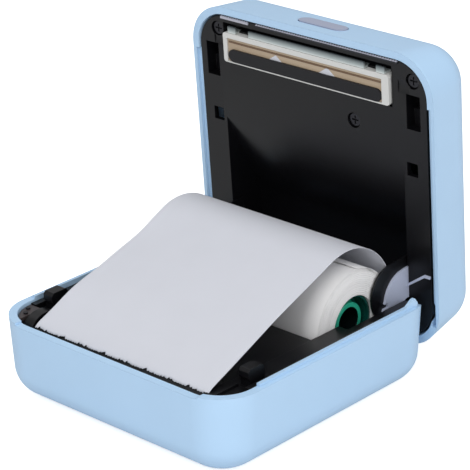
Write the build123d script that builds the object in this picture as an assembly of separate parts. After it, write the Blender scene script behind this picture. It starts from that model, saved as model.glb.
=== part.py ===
from build123d import *
from math import asin, atan, atan2, cos, degrees, pi, radians, sin, sqrt
import os

# A pocket thermal photo printer with its lid open, in millimetres.
# The origin is on the table, under the middle of the square base. X runs to the right of
# somebody who faces the paper slot, Y runs back to the hinge and Z is up. The base holds the
# paper roll, the rubber platen and its gears. The lid holds the sprung thermal head. The lid is
# modelled shut, in place on the base, and then turned back to its stop by open_lid.

# Both housings
body_width = 80.0
body_depth = 80.0
corner_radius = 11.5
wall = 2.2
floor_wall = 1.8
shell_gap = 0.3
parting_gap = 0.2

# Shared allowances: how far a cutting shape reaches past a face, and how far joined shapes overlap
overcut = 1.0
bite = 0.2
sliding_gap = 0.1
running_clearance = 0.05

# Base housing
base_height = 22.1
base_draft_inset = 1.15
base_edge_fillet = 8.1
foot_height = 0.4
foot_radius = 3.5
foot_recess = 0.8
foot_inset = 13.5
foot_chamfer = 0.25
pad_radius = 7.0
exit_slot_depth = 0.6
exit_slot_half = 31.0

# Rim tongue of the base and the ear at its rear end, beside the hinge
tongue_width = 0.9
tongue_height = 0.8
tongue_root = 2.0
tongue_front = -26.5
ear_front = 28.4
ear_rear = 32.6
ear_reach = 10.4
groove_gap = 0.2

# Lid housing
lid_height = 18.8
lid_draft_inset = 2.6
lid_edge_fillet = 8.6
lid_wall = 2.0

# Hinge
hinge_y = 31.5
hinge_z = 13.9
open_angle = 86.5
rear_round_radius = 8.0
hinge_pin_radius = 1.5
hinge_pin_length = 5.6
hinge_hub_radius = 3.0
arm_thickness = 0.7
arm_root = 3.6
fin_y = 26.0
fin_z = 21.0
fin_radius = 7.8
fin_low = 13.3
relief_y = 29.5
relief_z = 22.1
relief_radius = 2.9
detent_y = 25.5
detent_width = 1.2
detent_depth = 1.0
rib_width = 0.7
rib_height = 0.5
rib_bend_x = 35.5
rib_start_y = 23.2
rib_end_y = 19.1
arm_notch_drop = 2.3

# Cheek on the lid beside the roll's end
cheek_thickness = 0.5
cheek_radius = 7.6
cheek_y = 22.9
cheek_z = 16.4
cheek_root = 3.0

# Paper roll and the web that leaves it
paper_width = 57.0
roll_y = 20.0
roll_z = 18.5
roll_radius = 14.2
core_radius = 7.3
core_wall = 1.0
core_inset = 0.3
pit_clearance = 0.6
web_thickness = 0.25
web_shift = 0.2
web_lift = 0.5
web_start_angle = 140.0
crest_y = 16.8
crest_z = 21.4
crest_radius = 17.9
crest_end_angle = -6.0

# Base frame
frame_skin = 1.2
deck_top = 20.2
deck_thickness = 1.5
front_deck_drop = 1.2
side_slot_width = 3.0
slot_front = 13.6
slot_depth = 8.0
ledge_width = 1.8
ledge_rise = 1.5
ledge_front = -28.2
ledge_rear = 19.0
apron_depth = 6.0
rib_count = 3
rib_first_y = -14.0
rib_spacing = 6.0
rib_depth = 2.2
rib_thickness = 0.9

# Housing screws
screw_x = 23.0
screw_front_y = -29.0
screw_rear_y = 1.0
screw_radius = 0.9
screw_head_radius = 1.7
screw_head_height = 1.0
screw_floor = 2.0
screw_reach = 3.2
hex_radius = 0.8
hex_depth = 0.5
boss_radius = 2.6
base_boss_height = 3.8
hole_gap = 0.15
head_gap = 0.2

# Charging socket in the left wall
usb_y = -4.0
usb_z = 9.5
usb_width = 9.0
usb_height = 3.3
usb_length = 7.2
usb_corner = 1.4
usb_skin = 0.35
usb_tongue_width = 6.0
board_thickness = 1.0

# Platen and its bearings
platen_y = -31.0
platen_z = 16.8
platen_radius = 5.0
platen_length = 56.0
platen_shaft_radius = 1.5
platen_clearance = 0.6
bearing_width = 1.9
bearing_gap = 0.2
bush_radius = 2.6
bush_crown = 0.6
cap_skin = 0.3
cap_inner = 1.0
right_cap_top = 20.9
left_cap_top = 22.6

# Gears, from the motor's pinion through the compound idler to the platen
gear_module = 0.4
platen_teeth = 24
idler_small_teeth = 14
idler_large_teeth = 30
pinion_teeth = 10
tooth_root = 1.15
tooth_tip = 0.9
gear_width = 1.4
gear_side_gap = 0.4
gear_air = 0.5
idler_z = 11.2
idler_pin_radius = 1.0
idler_rim = 1.6
idler_dish = 0.6

# Motor and its steel plate
motor_z = 10.6
motor_radius = 7.0
motor_length = 15.0
motor_boss_radius = 2.0
motor_boss_height = 0.6
motor_shaft_radius = 0.75
motor_shaft_grip = 3.0
gear_plate_thickness = 0.8
gear_plate_low = 3.4
gear_plate_round = 1.5

# Corner plate over the gears, and its two small screws
corner_plate_rear = -28.4
corner_plate_inner = -33.2
corner_plate_height = 1.2
gear_screw_radius = 0.4
gear_screw_head = 0.6
gear_screw_places = ((-36.0, -30.6), (-34.4, -32.9))

# Paper sensor, flush with the front deck
sensor_half = 2.4
sensor_front = -23.6
sensor_rear = -20.8
sensor_height = 3.3
sensor_window = 0.6
sensor_window_x = 1.1

# Thermal head, its carrier and its springs
head_left = -28.7
head_right = 26.5
head_front = -33.4
head_rear = -25.3
head_bar_left = 1.3
head_bar_right = 2.3
head_bar_front = 1.4
head_bar_rear = 0.35
head_corner = 0.8
head_float = 0.5
head_gap = 0.4
head_thickness = 2.8
head_window_depth = 1.4
head_drop = 0.4
head_bay_front = 2.4
plate_recess = 0.4
plate_gap = 0.05
heater_half = 0.25
heater_depth = 0.12
cap_left = -26.95
cap_right = 24.1
cap_depth = 3.4
cap_proud = 0.15
spring_x = 17.0
spring_half = 4.5
spring_width = 4.0
spring_height = 3.0
spring_sheet = 0.3
spring_play = 0.5
bracket_left = -19.7
bracket_right = 18.7
bracket_depth = 1.8
bracket_sheet = 0.5
bracket_lip = 2.6
tab_width = 2.6
left_tab_x = -26.9
right_tab_x = 22.6
tear_pitch = 0.8
tear_tooth = 0.45
tear_strip = 0.45
tear_inset = 0.25
tear_half = 29.6
tear_break_low = -20.0
tear_break_high = -17.4

# Latches
latch_x = 33.4
latch_width = 3.1
latch_front = -26.1
latch_rear = -20.6
latch_rise = 2.9
latch_tang_depth = 2.4
latch_chamfer = 0.7
hook_depth = 0.7
hook_height = 1.6
slot_side_gap = 0.6
slot_front_room = 3.3
slot_rear_room = 0.4
slot_deep = 5.0
slot_shallow = 3.2
slot_step_y = -24.6
slot_skin = 1.0

# Power button
button_width = 15.0
button_height = 4.4
button_above_rim = 6.6
button_gap = 0.2
button_proud = 0.25
button_length = 3.3
flange_lap = 0.9
flange_half_height = 1.4
flange_thickness = 0.8
stem_radius = 1.2
stem_length = 1.0
switch_half = 2.6
switch_half_height = 1.9
switch_depth = 1.0
switch_front = -33.5

# Lid frame
lid_frame_drop = 0.4
lid_plate = 1.4
pocket_half = 29.9
pocket_radius = 15.8
pocket_start_y = -9.0
bay_skin = 1.8
window_low = 30.9
window_high = 34.3
window_front = -11.2
window_rear = -7.6
lid_screw_places = ((-31.2, -33.6), (33.4, -33.1), (14.2, -18.4))
lid_boss_radius = 2.9
lid_boss_height = 4.6
lid_screw_recess = 1.5
lid_screw_hole = 2.05
cross_length = 2.2
cross_width = 0.4
cross_depth = 0.4

# Boards and battery
board_drop = 4.0
board_half_x = 26.0
board_half_y = 15.0
board_corner = 2.0
board_y = -15.0
battery_length = 40.0
battery_depth = 22.0
battery_height = 6.0
battery_front = -25.5
battery_round = 1.4
battery_lift = 0.4

# Sizes that follow from the ones above
sides = (("left", -1), ("right", 1))
everywhere = 2 * body_width
half_body = body_width / 2
rim_z = base_height
inner_floor = foot_height + floor_wall
lid_z = base_height + parting_gap
lid_top = lid_z + lid_height
lid_ceiling = lid_top - floor_wall
frame_half = half_body - wall - shell_gap
frame_corner = corner_radius - wall - shell_gap
frame_z = lid_z + lid_frame_drop
deck_low = deck_top - deck_thickness
side_inner = paper_width / 2 + shell_gap
slot_outer = side_inner + side_slot_width
arm_inner = side_inner + cheek_thickness + sliding_gap
arm_outer = arm_inner + arm_thickness
pit_radius = roll_radius + pit_clearance
trough_radius = platen_radius + platen_clearance
platen_half = platen_length / 2
bush_outer = platen_half + bearing_gap + bearing_width
screw_seat = foot_height + screw_floor
boss_top = inner_floor + base_boss_height
head_z = lid_z - head_drop
head_top = head_z + head_thickness
head_middle_y = (head_front + head_rear) / 2
window_top = head_z + head_window_depth
plate_z = head_z + plate_recess
spring_seat = head_top + spring_height + spring_play
bay_top = head_top + head_float + bite
bay_roof = bay_top + frame_skin
button_z = lid_z + button_above_rim
gear_x_inner = -(bush_outer + gear_side_gap)
gear_x_outer = gear_x_inner - gear_width
drive_x_inner = gear_x_outer - gear_side_gap
drive_x_outer = drive_x_inner - gear_width
motor_x_low = -side_inner - gear_side_gap
motor_x_high = motor_x_low + motor_length
small_distance = gear_module * (platen_teeth + idler_small_teeth) / 2
large_distance = gear_module * (idler_large_teeth + pinion_teeth) / 2
idler_y = platen_y + sqrt(small_distance ** 2 - (platen_z - idler_z) ** 2)
motor_y = idler_y + sqrt(large_distance ** 2 - (motor_z - idler_z) ** 2)
idler_to_platen = atan2(platen_z - idler_z, platen_y - idler_y)
idler_to_motor = atan2(motor_z - idler_z, motor_y - idler_y)


def block(x_low, x_high, y_low, y_high, z_low, z_high):
    """A plain box between two corners."""
    centre = ((x_low + x_high) / 2, (y_low + y_high) / 2, (z_low + z_high) / 2)
    return Pos(*centre) * Box(x_high - x_low, y_high - y_low, z_high - z_low)


def across(face, x_low, x_high):
    """A side-view face, drawn in Y and Z, carried from x_low to x_high."""
    return extrude(Plane.YZ.offset(x_low) * face, amount=x_high - x_low)


def rod(y, z, radius, x_low, x_high):
    """A round bar along X."""
    return across(Pos(y, z) * Circle(radius), x_low, x_high)


def post(x, y, radius, z_low, z_high):
    """A round bar along Z."""
    return Pos(x, y, z_low) * extrude(Circle(radius), amount=z_high - z_low)


def slab(half_x, half_y, radius, z_low, z_high):
    """A flat plate with rounded corners."""
    outline = RectangleRounded(2 * half_x, 2 * half_y, radius)
    return Pos(0, 0, z_low) * extrude(outline, amount=z_high - z_low)


def layer(z_low, z_high):
    """All of the space between two heights."""
    return block(-everywhere, everywhere, -everywhere, everywhere, z_low, z_high)


def span(side, inner, outer):
    """The low and high X of a piece that lies between two distances on one side."""
    return (inner, outer) if side > 0 else (-outer, -inner)


def outline_face(*points):
    """A face inside straight edges."""
    return make_face(Polyline(*points, close=True))


def open_lid(piece):
    """Turn a piece of the shut lid back about the hinge to its stop."""
    to_axis = Pos(0, -hinge_y, -hinge_z)
    back = Pos(0, hinge_y, hinge_z)
    return back * Rot(-open_angle, 0, 0) * to_axis * piece


def base_tub(inset, z_floor, edge_fillet):
    """The drafted, round-bottomed outer form of the base, or its hollow."""
    draft = base_draft_inset / (rim_z - foot_height)
    narrow = base_draft_inset - draft * (z_floor - foot_height) + inset
    outline = RectangleRounded(body_width - 2 * narrow, body_depth - 2 * narrow, corner_radius - narrow)
    tub = Pos(0, 0, z_floor) * extrude(outline, amount=rim_z - z_floor, taper=-degrees(atan(draft)))
    return fillet(tub.faces().sort_by(Axis.Z)[0].edges(), edge_fillet)


def lid_tub(inset, z_ceiling, edge_fillet):
    """The drafted, round-topped outer form of the shut lid, or its hollow."""
    lean = degrees(atan(lid_draft_inset / lid_height))
    outline = RectangleRounded(body_width - 2 * inset, body_depth - 2 * inset, corner_radius - inset)
    tub = Pos(0, 0, lid_z) * extrude(outline, amount=z_ceiling - lid_z, taper=lean)
    return fillet(tub.faces().sort_by(Axis.Z)[-1].edges(), edge_fillet)


def rear_relief(radius):
    """What the turning lid sweeps behind the hinge line, outside a round rear edge."""
    reach = body_depth / 2 - hinge_y + 3 * overcut
    corner = Pos(hinge_y + reach / 2, hinge_z + reach) * Rectangle(reach, 2 * reach)
    return across(corner - Pos(hinge_y, hinge_z) * Circle(radius), -body_width, body_width)


def foot_discs():
    """Four corner feet and a larger pad in the middle, as X, Y and radius."""
    x = body_width / 2 - foot_inset
    y = body_depth / 2 - foot_inset
    corners = [(sx * x, sy * y, foot_radius) for sx in (-1, 1) for sy in (-1, 1)]
    return corners + [(0, 0, pad_radius)]


def rubber_feet():
    """The rubber discs that the printer stands on, glued into round recesses."""
    made = []
    for x, y, radius in foot_discs():
        foot = post(x, y, radius, 0, foot_height + foot_recess)
        made.append(chamfer(foot.edges().group_by(Axis.Z)[0], foot_chamfer))
    return Compound(made)


def screw_places():
    """The four housing screws: two under the platen trough, two in front of the roll pit."""
    return [(side * screw_x, y) for side in (-1, 1) for y in (screw_front_y, screw_rear_y)]


def rim_tongue(side):
    """The thin tongue on one side wall, with a raised ear beside the hinge."""
    low = rim_z - tongue_root
    top = rim_z + tongue_height
    ear_top = hinge_z + ear_reach
    outline = outline_face((tongue_front, low), (tongue_front, top), (ear_front, top), (hinge_y - 0.9, ear_top - 0.1),
                           (hinge_y, ear_top), (ear_rear, rim_z + tongue_height), (ear_rear, low))
    x_low, x_high = span(side, half_body - wall, half_body - wall + tongue_width)
    return across(outline, x_low, x_high)


def tongue_groove(side):
    """The room in the lid for a tongue, and for its ear while the lid turns."""
    x_low, x_high = span(side, half_body - wall - groove_gap, half_body - wall + tongue_width + groove_gap)
    groove = block(x_low, x_high, tongue_front - 2 * groove_gap, ear_rear + groove_gap, lid_z - overcut,
                   rim_z + tongue_height + groove_gap)
    sweep = rod(hinge_y, hinge_z, ear_reach + groove_gap, x_low, x_high)
    return groove + (sweep & block(x_low, x_high, 0, ear_rear + groove_gap, 0, lid_top))


def usb_outline(extra):
    """The side view of the charging socket's mouth."""
    return Pos(usb_y, usb_z) * RectangleRounded(usb_width + 2 * extra, usb_height + 2 * extra, usb_corner + extra)


def base_shell():
    """The blue tub of the base: rim tongues, paper slot, feet recesses, bosses and notches."""
    shell = base_tub(0, foot_height, base_edge_fillet)
    shell -= base_tub(wall, inner_floor, base_edge_fillet - wall)
    shell -= rear_relief(rear_round_radius)
    for _, side in sides:
        shell += rim_tongue(side)
        x_low, x_high = span(side, side_inner - sliding_gap, slot_outer)
        shell -= block(x_low, x_high, hinge_y, half_body + overcut, hinge_z - arm_notch_drop, rim_z + overcut)
    shell -= block(-exit_slot_half, exit_slot_half, -half_body - overcut, -half_body + wall + overcut,
                   rim_z - exit_slot_depth, rim_z + overcut)
    for x, y, radius in foot_discs():
        shell -= post(x, y, radius + sliding_gap, 0, foot_height + foot_recess)
    for x, y in screw_places():
        shell += post(x, y, boss_radius, inner_floor - bite, boss_top)
        shell -= post(x, y, screw_head_radius + head_gap, 0, screw_seat)
        shell -= post(x, y, screw_radius + hole_gap, 0, boss_top + overcut)
    return shell - across(usb_outline(shell_gap), -half_body - overcut, -half_body + 2 * wall)


def usb_socket():
    """A metal socket whose mouth stands in the left wall."""
    x_low = -half_body + base_draft_inset
    socket = across(usb_outline(0), x_low, x_low + usb_length)
    socket -= across(usb_outline(-usb_skin), x_low - overcut, x_low + usb_length - overcut)
    tongue = block(x_low + overcut, x_low + usb_length - bite, usb_y - usb_tongue_width / 2,
                   usb_y + usb_tongue_width / 2, usb_z - usb_skin, usb_z + usb_skin)
    return socket + tongue


def charge_board():
    """A small circuit board under the charging socket."""
    z_top = usb_z - usb_height / 2 - running_clearance
    x_low = -half_body + wall + 1.4
    return block(x_low, x_low + usb_length, usb_y - usb_width * 0.62, usb_y + usb_width * 0.78,
                 z_top - board_thickness, z_top)


def base_screws():
    """Four socket-head screws, driven up through the floor into the frame's posts."""
    made = []
    for x, y in screw_places():
        head_low = screw_seat - screw_head_height
        head = post(x, y, screw_head_radius, head_low, screw_seat)
        head -= Pos(x, y, head_low) * extrude(RegularPolygon(hex_radius, 6), amount=hex_depth)
        made.append(head + post(x, y, screw_radius, screw_seat - bite, boss_top + screw_reach))
    return Compound(made)


def pit_walls():
    """The half-round roll pit between two deep end walls, closed behind by an apron."""
    trough = rod(roll_y, roll_z, pit_radius + frame_skin, -side_inner, side_inner)
    walls = trough & layer(0, deck_top)
    walls += block(-side_inner, side_inner, roll_y + pit_radius / 2, frame_half, hinge_z - apron_depth, deck_top)
    for _, side in sides:
        x_low, x_high = span(side, slot_outer, slot_outer + frame_skin)
        walls += block(x_low, x_high, roll_y - pit_radius - 2, body_depth / 2 - wall, 0, deck_low + bite)
        x_low, x_high = span(side, slot_outer, arm_inner + hinge_pin_length + core_inset)
        walls += rod(hinge_y, hinge_z, hinge_hub_radius, x_low, x_high)
    return walls


def deck_ribs():
    """Stiffening ribs under the front deck, and posts for the housing screws."""
    ribs = []
    for x, y in screw_places():
        post_top = deck_low + bite if y > platen_y + trough_radius else platen_z - trough_radius - bite
        ribs.append(post(x, y, boss_radius, boss_top, post_top))
    for index in range(rib_count):
        y = rib_first_y + index * rib_spacing
        ribs.append(block(motor_x_high + gear_air, slot_outer, y, y + rib_thickness, deck_low - rib_depth,
                          deck_low + bite))
    return ribs


def frame_openings():
    """What is cut from the base frame: the low front deck, the roll, the arms and the drive."""
    pit_front = roll_y - sqrt(pit_radius ** 2 - (deck_top - roll_z) ** 2)
    low_deck = deck_top - front_deck_drop
    cuts = [block(-side_inner, side_inner, platen_y, pit_front + overcut, low_deck, deck_top + overcut)]
    cuts.append(rod(roll_y, roll_z, pit_radius, -side_inner - sliding_gap, side_inner + sliding_gap))
    cuts.append(block(-side_inner, side_inner, pit_front + pit_clearance, roll_y + pit_radius - bite, roll_z, rim_z))
    for _, side in sides:
        x_low, x_high = span(side, side_inner - running_clearance, slot_outer)
        cuts.append(block(x_low, x_high, slot_front, body_depth, hinge_z - slot_depth, deck_top + overcut))
        x_low, x_high = span(side, arm_outer, half_body)
        cuts.append(rod(hinge_y, hinge_z, hinge_pin_radius + running_clearance, x_low, x_high))
        cuts.append(bearing_seat(side))
        cuts.append(latch_tang(side, running_clearance))
    reach = platen_half + bearing_gap / 2
    cuts.append(rod(platen_y, platen_z, trough_radius, -reach, reach))
    cuts.append(block(-reach, reach, platen_y - trough_radius, platen_y + trough_radius, platen_z, rim_z))
    cuts.append(gear_well())
    cuts.append(rod(motor_y, motor_z, motor_radius + gear_side_gap, motor_x_low - overcut, motor_x_high + gear_air))
    cuts.append(sensor_body(sliding_gap))
    for x, y in screw_places():
        cuts.append(post(x, y, screw_radius + running_clearance, 0, boss_top + screw_reach + gear_side_gap))
    cuts.append(rear_relief(rear_round_radius - bite))
    return cuts


def base_frame():
    """The black inner frame: decks, roll pit, platen trough and hinge walls in one moulding."""
    frame = slab(frame_half, frame_half, frame_corner, deck_low, deck_top)
    frame += pit_walls()
    for _, side in sides:
        x_low, x_high = span(side, frame_half - ledge_width, frame_half)
        frame += block(x_low, x_high, ledge_front, ledge_rear, deck_low, deck_top + ledge_rise)
    # The platen trough crosses the front between two cheeks that carry the bearings.
    trough = rod(platen_y, platen_z, trough_radius + frame_skin, -bush_outer, bush_outer)
    frame += trough & layer(0, deck_top)
    for rib in deck_ribs():
        frame += rib
    for cut in frame_openings():
        frame -= cut
    return frame & base_tub(wall + shell_gap, inner_floor + bite, base_edge_fillet - wall - shell_gap)


def gear_well():
    """The space in the frame's left front corner where the gears turn."""
    start = gear_x_inner + running_clearance * 3
    platen_tip = gear_module * (platen_teeth / 2 + 1) + gear_air
    well = rod(platen_y, platen_z, platen_tip, gear_x_outer - bite, start)
    wheel_tip = gear_module * (idler_large_teeth / 2 + 1) + gear_air
    well += rod(idler_y, idler_z, wheel_tip, drive_x_outer - 2 * gear_side_gap, start)
    return well + rod(idler_y, idler_z, idler_pin_radius + bite, drive_x_outer - 2, motor_x_low + overcut)


def bearing_seat(side):
    """The open-topped seat of one platen bush in the frame."""
    x_low, x_high = span(side, platen_half, bush_outer + overcut)
    half = bush_radius + running_clearance
    seat = rod(platen_y, platen_z, half, x_low, x_high)
    return seat + block(x_low, x_high, platen_y - half, platen_y + half, platen_z, rim_z)


def gear_outline(teeth, angle):
    """A toothed outline whose first tooth points at the given angle."""
    pitch_radius = gear_module * teeth / 2
    root = pitch_radius - tooth_root * gear_module
    tip = pitch_radius + tooth_tip * gear_module
    quarter = pi / (2 * teeth)
    points = []
    for tooth in range(teeth):
        middle = angle + 2 * pi * tooth / teeth
        for radius, share in ((root, -1.55), (tip, -0.42), (tip, 0.42), (root, 1.55)):
            turn = middle + share * quarter
            points.append((radius * cos(turn), radius * sin(turn)))
    return outline_face(*points)


def spur_gear(y, z, teeth, angle, x_low, x_high):
    """A straight-toothed wheel that turns about X."""
    return across(Pos(y, z) * gear_outline(teeth, angle), x_low, x_high)


def platen_gear():
    """The wheel on the platen's shaft, in mesh with the idler's small wheel."""
    turn = idler_to_platen + pi + pi / platen_teeth
    gear = spur_gear(platen_y, platen_z, platen_teeth, turn, gear_x_outer, gear_x_inner)
    return gear - rod(platen_y, platen_z, platen_shaft_radius, gear_x_outer - overcut, gear_x_inner + overcut)


def idler_gear():
    """A compound gear: the large wheel meets the pinion, the small one the platen gear."""
    large = spur_gear(idler_y, idler_z, idler_large_teeth, idler_to_motor, drive_x_outer, drive_x_inner)
    small = spur_gear(idler_y, idler_z, idler_small_teeth, idler_to_platen, drive_x_inner, gear_x_inner)
    past = drive_x_outer - overcut
    hole = rod(idler_y, idler_z, idler_pin_radius + running_clearance, past, gear_x_inner + overcut)
    rim_inner = gear_module * idler_large_teeth / 2 - idler_rim
    dish = rod(idler_y, idler_z, rim_inner, past, drive_x_outer + idler_dish)
    hub = rod(idler_y, idler_z, 2 * idler_pin_radius, past, drive_x_outer + idler_dish)
    return large + small - (dish - hub) - hole


def motor_pinion():
    """The small wheel on the motor's shaft."""
    turn = idler_to_motor + pi + pi / pinion_teeth
    gear = spur_gear(motor_y, motor_z, pinion_teeth, turn, drive_x_outer, drive_x_inner)
    return gear - rod(motor_y, motor_z, motor_shaft_radius, drive_x_outer - overcut, drive_x_inner + overcut)


def motor_shaft():
    """The motor's thin steel shaft."""
    return rod(motor_y, motor_z, motor_shaft_radius, drive_x_outer, motor_x_low + motor_shaft_grip)


def motor_body():
    """The motor's round can, with a boss in the steel plate and a bore for the shaft."""
    can = rod(motor_y, motor_z, motor_radius, motor_x_low + bite, motor_x_high)
    can = chamfer(can.edges().group_by(Axis.X)[-1], motor_boss_height)
    boss = rod(motor_y, motor_z, motor_boss_radius, motor_x_low - motor_boss_height, motor_x_low + 2 * bite)
    bore = rod(motor_y, motor_z, motor_shaft_radius + running_clearance, motor_x_low - overcut,
               motor_x_low + motor_shaft_grip + bite)
    return can + boss - bore


def gear_plate():
    """A steel side plate that carries the motor and the idler's pin."""
    x_low = motor_x_low - gear_plate_thickness
    past_low = x_low - overcut
    past_high = motor_x_low + overcut
    plate = block(x_low, motor_x_low, idler_y - 3 * idler_pin_radius, motor_y + motor_radius, gear_plate_low,
                  deck_low - gear_side_gap)
    plate = fillet(plate.edges().filter_by(Axis.X), gear_plate_round)
    plate -= rod(platen_y, platen_z, trough_radius + frame_skin + shell_gap, past_low, past_high)
    plate -= rod(motor_y, motor_z, motor_boss_radius + sliding_gap, past_low, past_high)
    return plate - rod(idler_y, idler_z, idler_pin_radius, past_low, past_high)


def idler_pin():
    """The steel pin that the compound idler turns on, pressed into the plate."""
    return rod(idler_y, idler_z, idler_pin_radius, drive_x_outer - gear_air, motor_x_low)


def platen_rubber():
    """The rubber sleeve that grips the paper."""
    tube = rod(platen_y, platen_z, platen_radius, -platen_half, platen_half)
    return tube - rod(platen_y, platen_z, platen_shaft_radius, -platen_half - overcut, platen_half + overcut)


def platen_shaft():
    """The platen's steel shaft, from its gear to the right-hand bush."""
    shaft = rod(platen_y, platen_z, platen_shaft_radius, gear_x_outer, bush_outer)
    return chamfer(shaft.edges().group_by(Axis.X)[-1], shell_gap)


def platen_bush(side):
    """A plastic bush that holds one end of the platen shaft in the frame."""
    x_low, x_high = span(side, platen_half + bearing_gap, bush_outer)
    bush = rod(platen_y, platen_z, bush_radius, x_low, x_high)
    bush += block(x_low, x_high, platen_y - bush_radius, platen_y + bush_radius, platen_z,
                  platen_z + bush_radius + bush_crown)
    return bush - rod(platen_y, platen_z, platen_shaft_radius + running_clearance, x_low - overcut,
                      x_high + overcut)


def bearing_cap(side):
    """The curved black cover that keeps one bush down and hides the gear on the left."""
    outer = trough_radius + cap_skin
    x_low, x_high = span(side, platen_half + cap_inner, sliding_gap - gear_x_outer)
    top = right_cap_top if side > 0 else left_cap_top
    cap = rod(platen_y, platen_z, outer, x_low, x_high) & layer(deck_top, top)
    if side < 0:
        gear_tip = gear_module * (platen_teeth / 2 + 1)
        cap -= rod(platen_y, platen_z, gear_tip + shell_gap, x_low - overcut, gear_x_inner + 3 * running_clearance)
    return cap


def gear_cover():
    """The brown-grey plate over the gears in the left front corner."""
    plate = block(-half_body, corner_plate_inner, -half_body, corner_plate_rear, deck_top,
                  deck_top + corner_plate_height)
    inset = sliding_gap
    plate &= slab(frame_half - inset, frame_half - inset, frame_corner - inset, 0, rim_z)
    for x, y in gear_screw_places:
        plate -= post(x, y, gear_screw_radius + running_clearance, deck_top - overcut, rim_z)
    return plate


def gear_screws():
    """Two small screws in the corner plate."""
    seat = deck_top + corner_plate_height
    made = []
    for x, y in gear_screw_places:
        made.append(post(x, y, gear_screw_head, seat, seat + gear_screw_radius)
                    + post(x, y, gear_screw_radius, deck_top + running_clearance, seat + running_clearance))
    return Compound(made)


def sensor_body(extra):
    """The outer form of the paper sensor, or the pocket for it."""
    top = deck_top - front_deck_drop - sliding_gap
    return block(-sensor_half - extra, sensor_half + extra, sensor_front - extra, sensor_rear + extra,
                 top - sensor_height - extra, top + extra)


def paper_sensor():
    """A small optical sensor, flush with the front deck, with two round windows."""
    top = deck_top - front_deck_drop - sliding_gap
    body = sensor_body(0)
    for x in (-sensor_window_x, sensor_window_x):
        body -= post(x, (sensor_front + sensor_rear) / 2, sensor_window, top - sensor_window, top + overcut)
    return body


def latch_tang(side, extra):
    """The foot of a latch, sunk in the deck."""
    x_low, x_high = span(side, latch_x - latch_width / 2 - extra, latch_x + latch_width / 2 + extra)
    return block(x_low, x_high, latch_front - extra, latch_rear + extra, deck_top - latch_tang_depth - extra,
                 deck_top + overcut)


def latch(side):
    """A hooked post that enters a slot in the lid."""
    x_low, x_high = span(side, latch_x - latch_width / 2, latch_x + latch_width / 2)
    top = rim_z + latch_rise
    low = deck_top - latch_tang_depth
    recess = latch_front + hook_depth
    under_hook = top - latch_chamfer - hook_height
    outline = outline_face((latch_front, low), (latch_rear, low), (latch_rear, top - latch_chamfer),
                           (latch_rear - latch_chamfer, top), (latch_front + latch_chamfer, top),
                           (latch_front, top - latch_chamfer), (latch_front, under_hook),
                           (recess, under_hook - hook_depth), (recess, deck_top), (latch_front, deck_top))
    return across(outline, x_low, x_high)


def battery():
    """The flat battery cell beside the motor."""
    z_low = inner_floor + battery_lift
    x_low = motor_x_high + 3 * overcut
    cell = block(x_low, x_low + battery_length, battery_front, battery_front + battery_depth, z_low,
                 z_low + battery_height)
    return fillet(cell.edges().filter_by(Axis.X), battery_round)


def paper_roll():
    """The wound paper, as a thick tube."""
    roll = rod(roll_y, roll_z, roll_radius, -paper_width / 2, paper_width / 2)
    return roll - rod(roll_y, roll_z, core_radius, -paper_width, paper_width)


def roll_core():
    """The thin plastic tube that the paper is wound on."""
    half = paper_width / 2 - core_inset
    tube = rod(roll_y, roll_z, core_radius, -half, half)
    return tube - rod(roll_y, roll_z, core_radius - core_wall, -paper_width, paper_width)


def web_edge(inward):
    """One side of the web: round the platen, straight up the ramp, then over the crest."""
    low_radius = platen_radius + web_lift - inward
    high_radius = crest_radius - inward
    distance = sqrt((crest_y - platen_y) ** 2 + (crest_z - platen_z) ** 2)
    ramp = atan2(crest_z - platen_z, crest_y - platen_y) + asin((high_radius - low_radius) / distance)
    touch = 90 + degrees(ramp)
    low_arc = CenterArc((platen_y, platen_z), low_radius, web_start_angle, touch - web_start_angle)
    high_arc = CenterArc((crest_y, crest_z), high_radius, touch, crest_end_angle - touch)
    return [low_arc, Line(low_arc @ 1, high_arc @ 0), high_arc]


def paper_web():
    """The loose length of paper from the roll, over its own crest, to the platen."""
    upper = web_edge(0)
    under = web_edge(web_thickness)
    ends = [Line(upper[0] @ 0, under[0] @ 0), Line(upper[-1] @ 1, under[-1] @ 1)]
    half = paper_width / 2
    return across(make_face(upper + under + ends), -half + web_shift, half + web_shift)


def lid_shell():
    """The blue tub of the lid, with grooves for the rim tongues and the button's opening."""
    shell = lid_tub(0, lid_top, lid_edge_fillet)
    shell -= lid_tub(lid_wall, lid_ceiling, lid_edge_fillet - lid_wall)
    for _, side in sides:
        shell -= tongue_groove(side)
    return shell - button_bar(button_gap, -half_body - overcut, -half_body + 3 * lid_wall)


def button_bar(extra, y_low, y_high):
    """A pill-shaped bar along Y through the lid's front wall."""
    outline = SlotOverall(button_width + 2 * extra, button_height + 2 * extra)
    plane = Plane((0, y_low, button_z), x_dir=(1, 0, 0), z_dir=(0, 1, 0))
    return extrude(plane * outline, amount=y_high - y_low)


def power_button():
    """The pill in the lid's front wall, cut to follow the wall's slope, on a wider flange."""
    slope = lid_draft_inset / lid_height
    front = -half_body + slope * button_above_rim - button_proud
    pill = button_bar(0, front - lid_wall, front + button_length + bite)
    outside = Pos(0, front, button_z) * Rot(-degrees(atan(slope)), 0, 0) * Pos(0, -lid_wall, 0)
    pill -= outside * Box(2 * button_width, 2 * lid_wall, 2 * button_width)
    flange_front = front + button_length
    half = button_width / 2 + flange_lap
    flange = block(-half, half, flange_front, flange_front + flange_thickness, button_z - flange_half_height,
                   button_z + flange_half_height)
    stem = Pos(0, flange_front + flange_thickness, button_z) * Rot(-90, 0, 0) * Cylinder(stem_radius, stem_length)
    return pill + flange + stem


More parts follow.
